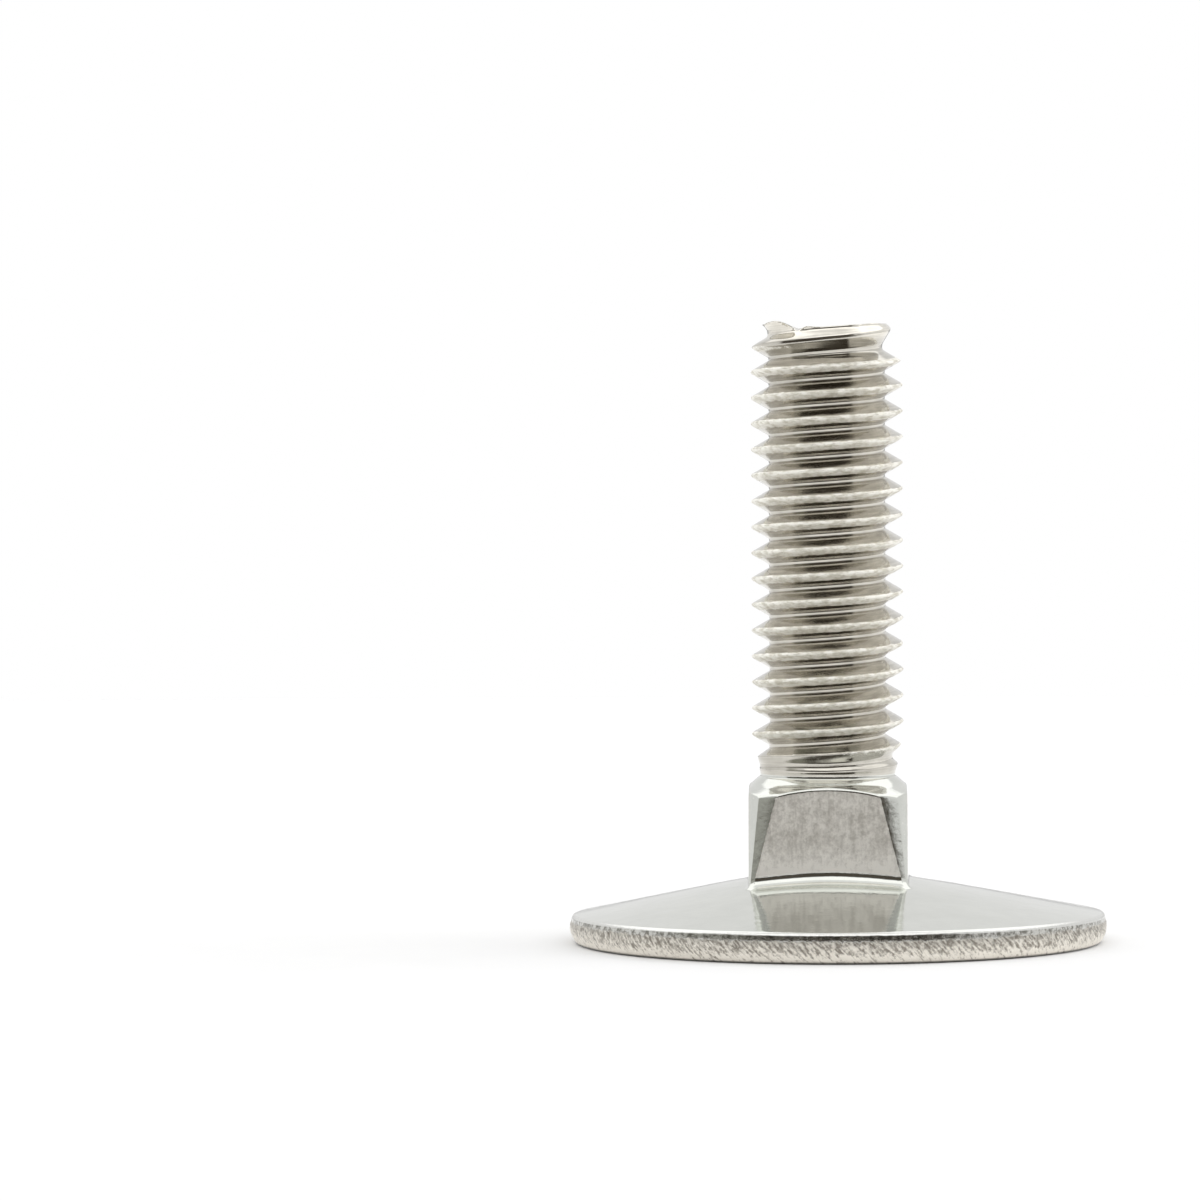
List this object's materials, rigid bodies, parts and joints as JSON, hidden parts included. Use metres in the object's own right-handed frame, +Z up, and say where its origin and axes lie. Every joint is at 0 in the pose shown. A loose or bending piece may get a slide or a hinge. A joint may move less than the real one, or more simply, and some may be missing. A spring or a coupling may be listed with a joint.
{
  "type": "elevator bolt",
  "caption": "Elevator bolt: wide flat head with a shallow cone-shaped back, faceted square neck and a rolled coarse thread to a sheared end.",
  "frame": {"origin": "centre of the neck and shank, in the plane of the flat head face", "axes": "+Z up the shank from the flat head face to the sheared end, +X and +Y square to the flats of the neck; the forged head sits 0.6 mm off the axis toward +X"},
  "size_m": [0.033, 0.033, 0.0381],
  "materials": {
    "stainless_steel": "bare cold-forged stainless steel: satin rolled thread, dull drag-marked neck, smooth cone, rough rim"
  },
  "bodies": {
    "root": {"elevator_bolt": "stainless_steel"}
  },
  "joints": []
}
